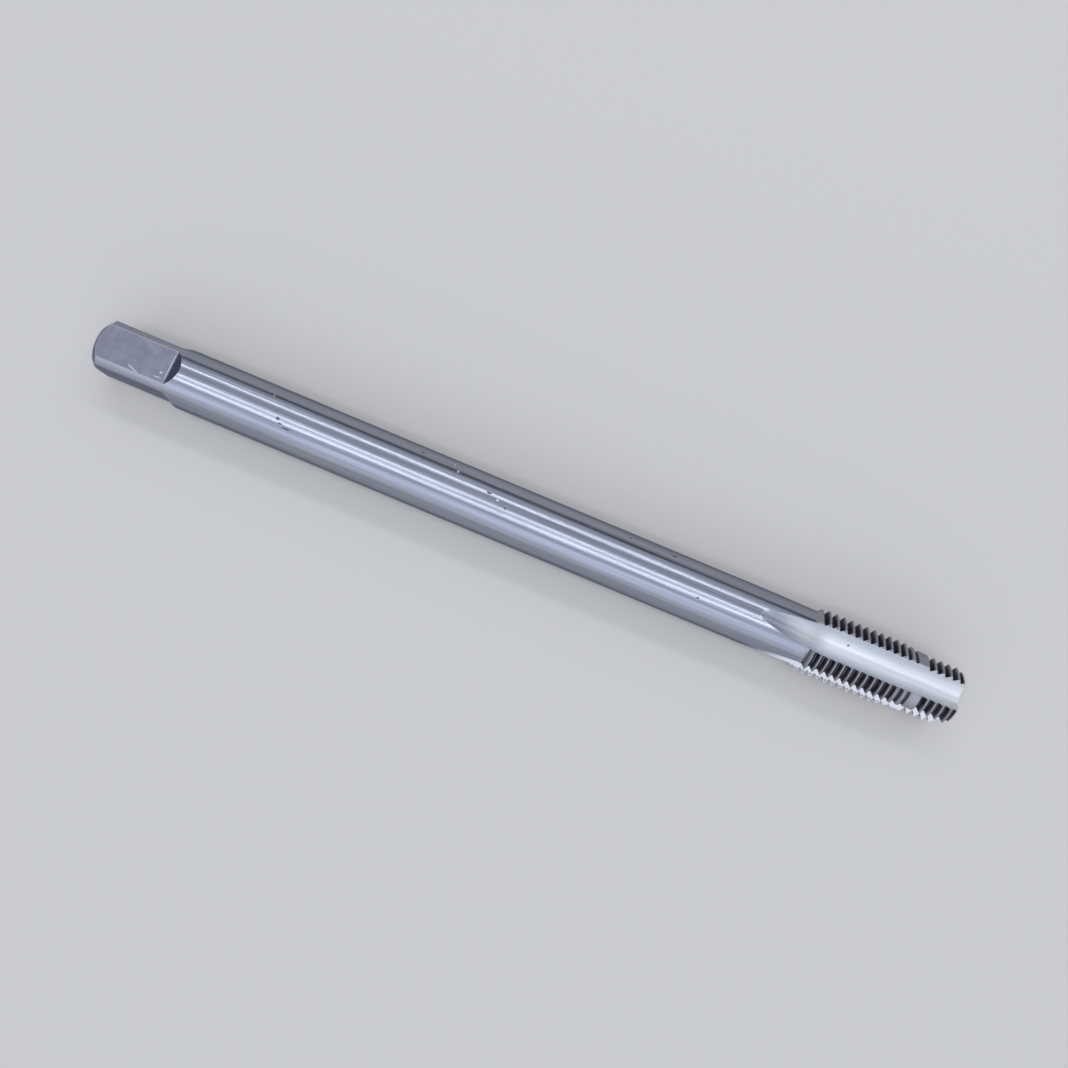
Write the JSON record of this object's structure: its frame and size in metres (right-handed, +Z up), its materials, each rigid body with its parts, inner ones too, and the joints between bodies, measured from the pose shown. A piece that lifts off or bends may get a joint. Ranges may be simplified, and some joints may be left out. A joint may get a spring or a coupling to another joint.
{
  "type": "thread tap",
  "caption": "Long two-diameter thread tap with a square drive, plain round shank, straight flutes and a pilot thread ahead of the main cutting thread.",
  "frame": {"origin": "on the surface the tap lies on, under the middle of its length", "axes": "+X along the axis from the square drive to the cutting tip, +Z up through one flute and one drive flat"},
  "size_m": [0.17, 0.0118, 0.0118],
  "materials": {
    "tool_steel": "ground and polished tool steel, matte milled square, darker unpolished thread flanks"
  },
  "bodies": {
    "root": {"thread_tap": "tool_steel"}
  },
  "joints": []
}
